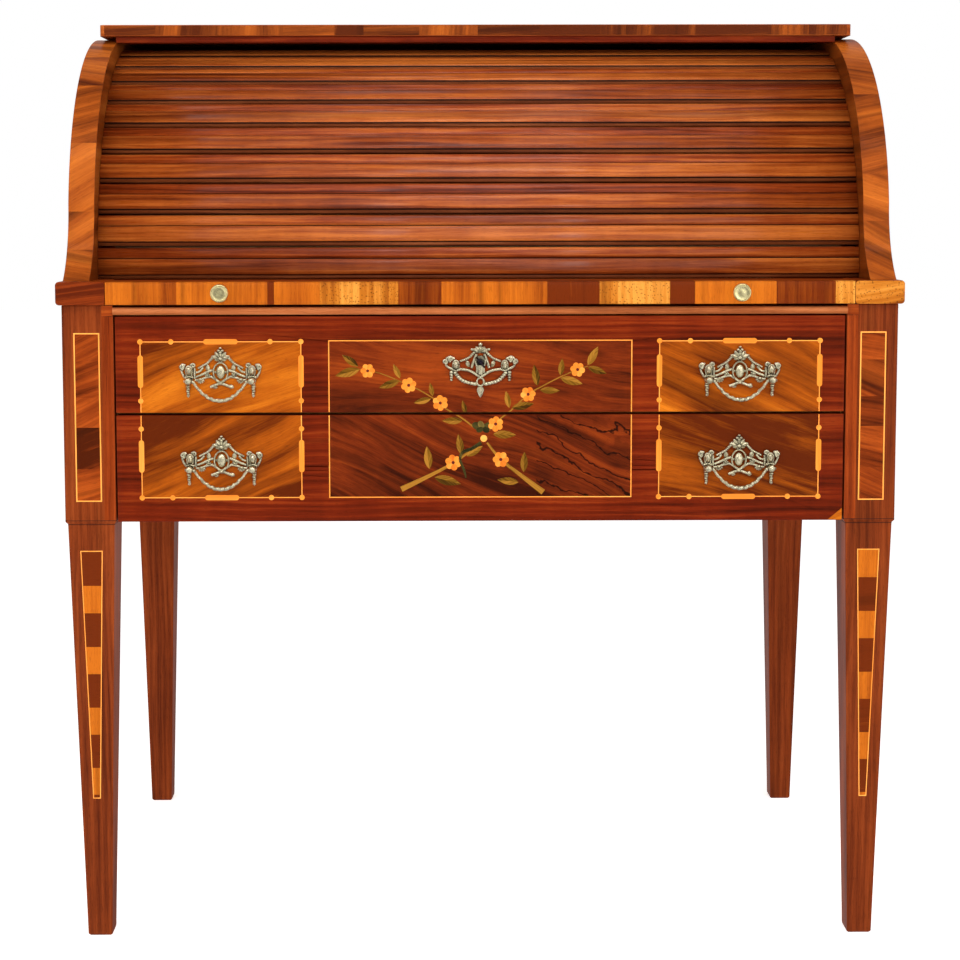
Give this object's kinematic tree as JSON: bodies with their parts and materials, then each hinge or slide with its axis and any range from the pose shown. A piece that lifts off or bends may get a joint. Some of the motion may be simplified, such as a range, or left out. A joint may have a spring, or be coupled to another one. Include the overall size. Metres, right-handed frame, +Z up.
{
  "type": "roll top desk",
  "caption": "Roll top desk with a tambour that the pull-out writing slide rolls back, long drawers with bail handles, a lock and key, and square tapered inlaid legs.",
  "frame": {"origin": "on the floor, in the middle of the desk's overall box", "axes": "+X to the right of someone facing the desk, +Y from its front to its back, +Z up"},
  "size_m": [0.99, 0.6182, 1.108],
  "materials": {
    "walnut_legs": "French-polished walnut",
    "walnut_case": "French-polished walnut",
    "drawer_veneer": "French-polished red-brown veneer",
    "tambour_walnut": "French-polished walnut",
    "roll_side_veneer": "French-polished cross-grained veneer",
    "cross_banding": "French-polished banding",
    "pine": "bare, darkened with age",
    "small_drawer_veneer": "French-polished veneer",
    "walnut_fitment": "French-polished walnut",
    "writing_leather": "tooled, worn",
    "gilt_brass": "pale, worn",
    "lock_brass": "dull",
    "silvered_mounts": "silvered casting, tarnished in the hollows",
    "blued_steel": "dark blued",
    "canvas": "plain weave"
  },
  "bodies": {
    "carcase": {"leg_front_left": "walnut_legs", "leg_front_right": "walnut_legs", "leg_back_left": "walnut_legs", "leg_back_right": "walnut_legs", "case_side_left": "walnut_case", "case_side_right": "walnut_case", "case_back": "pine", "drawer_rails": "pine", "drawer_runners": "pine", "moulding_rail": "walnut_case", "dust_board": "pine", "ledge_left": "walnut_case", "ledge_right": "walnut_case", "ledge_back": "walnut_case", "roll_side_left": "roll_side_veneer", "roll_side_right": "roll_side_veneer", "top_board": "cross_banding", "top_front_rail": "walnut_case", "upper_back": "pine", "fitment_case": "walnut_fitment"},
    "writing_slide": {"slide_board": "walnut_case", "slide_front": "cross_banding", "slide_leather": "writing_leather", "slide_knobs": "gilt_brass"},
    "tambour": {"slat_01": "tambour_walnut", "slat_02": "tambour_walnut", "slat_03": "tambour_walnut", "slat_04": "tambour_walnut", "slat_05": "tambour_walnut", "slat_06": "tambour_walnut", "slat_07": "tambour_walnut", "slat_08": "tambour_walnut", "slat_09": "tambour_walnut", "slat_10": "tambour_walnut", "tambour_canvas": "canvas"},
    "drawer_upper": {"upper_front": "drawer_veneer", "upper_sides": "pine", "upper_drawer_back": "pine", "upper_bottom": "pine", "upper_handle_plates": "silvered_mounts", "escutcheon": "silvered_mounts", "lock_case": "lock_brass"},
    "drawer_lower": {"lower_front": "drawer_veneer", "lower_sides": "pine", "lower_drawer_back": "pine", "lower_bottom": "pine", "lower_handle_plates": "silvered_mounts"},
    "bail_upper_left": {"bail_upper_left": "silvered_mounts"},
    "bail_upper_right": {"bail_upper_right": "silvered_mounts"},
    "bail_lower_left": {"bail_lower_left": "silvered_mounts"},
    "bail_lower_right": {"bail_lower_right": "silvered_mounts"},
    "key": {"key": "blued_steel"},
    "lock_bolt": {"lock_bolt": "blued_steel"},
    "small_drawer_left": {"small_drawer_left": "small_drawer_veneer", "small_knob_left": "gilt_brass"},
    "small_drawer_middle": {"small_drawer_middle": "small_drawer_veneer", "small_knob_middle": "gilt_brass"},
    "small_drawer_right": {"small_drawer_right": "small_drawer_veneer", "small_knob_right": "gilt_brass"}
  },
  "joints": [
    {"name": "slide_pull", "type": "slide", "parent": "carcase", "child": "writing_slide", "axis": [0, -1, 0], "range_m": [0, 0.325]},
    {"name": "tambour_roll", "type": "hinge", "parent": "carcase", "child": "tambour", "pos_m": [0, 0.07692, 0.8], "axis": [-1, 0, 0], "range_deg": [0, 59]},
    {"name": "upper_drawer_pull", "type": "slide", "parent": "carcase", "child": "drawer_upper", "axis": [0, -1, 0], "range_m": [0, 0.38]},
    {"name": "lower_drawer_pull", "type": "slide", "parent": "carcase", "child": "drawer_lower", "axis": [0, -1, 0], "range_m": [0, 0.38]},
    {"name": "bail_upper_left_swing", "type": "hinge", "parent": "drawer_upper", "child": "bail_upper_left", "pos_m": [-0.304, -0.29308, 0.675], "axis": [-1, 0, 0], "range_deg": [0, 75]},
    {"name": "bail_upper_right_swing", "type": "hinge", "parent": "drawer_upper", "child": "bail_upper_right", "pos_m": [0.304, -0.29308, 0.675], "axis": [-1, 0, 0], "range_deg": [0, 75]},
    {"name": "bail_lower_left_swing", "type": "hinge", "parent": "drawer_lower", "child": "bail_lower_left", "pos_m": [-0.304, -0.29308, 0.571], "axis": [-1, 0, 0], "range_deg": [0, 75]},
    {"name": "bail_lower_right_swing", "type": "hinge", "parent": "drawer_lower", "child": "bail_lower_right", "pos_m": [0.304, -0.29308, 0.571], "axis": [-1, 0, 0], "range_deg": [0, 75]},
    {"name": "key_turn", "type": "hinge", "parent": "drawer_upper", "child": "key", "pos_m": [0, -0.28108, 0.6965], "axis": [0, 1, 0], "range_deg": [0, 180]},
    {"name": "bolt_rise", "type": "slide", "parent": "drawer_upper", "child": "lock_bolt", "axis": [0, 0, 1], "range_m": [0, 0.006]},
    {"name": "small_drawer_left_pull", "type": "slide", "parent": "carcase", "child": "small_drawer_left", "axis": [0, -1, 0], "range_m": [0, 0.12]},
    {"name": "small_drawer_middle_pull", "type": "slide", "parent": "carcase", "child": "small_drawer_middle", "axis": [0, -1, 0], "range_m": [0, 0.12]},
    {"name": "small_drawer_right_pull", "type": "slide", "parent": "carcase", "child": "small_drawer_right", "axis": [0, -1, 0], "range_m": [0, 0.12]}
  ],
  "couplings": [
    {"joint": "tambour_roll", "follows": "slide_pull", "rad_per_m": 3.1577},
    {"joint": "key_turn", "follows": "bolt_rise", "rad_per_m": 523.5}
  ]
}
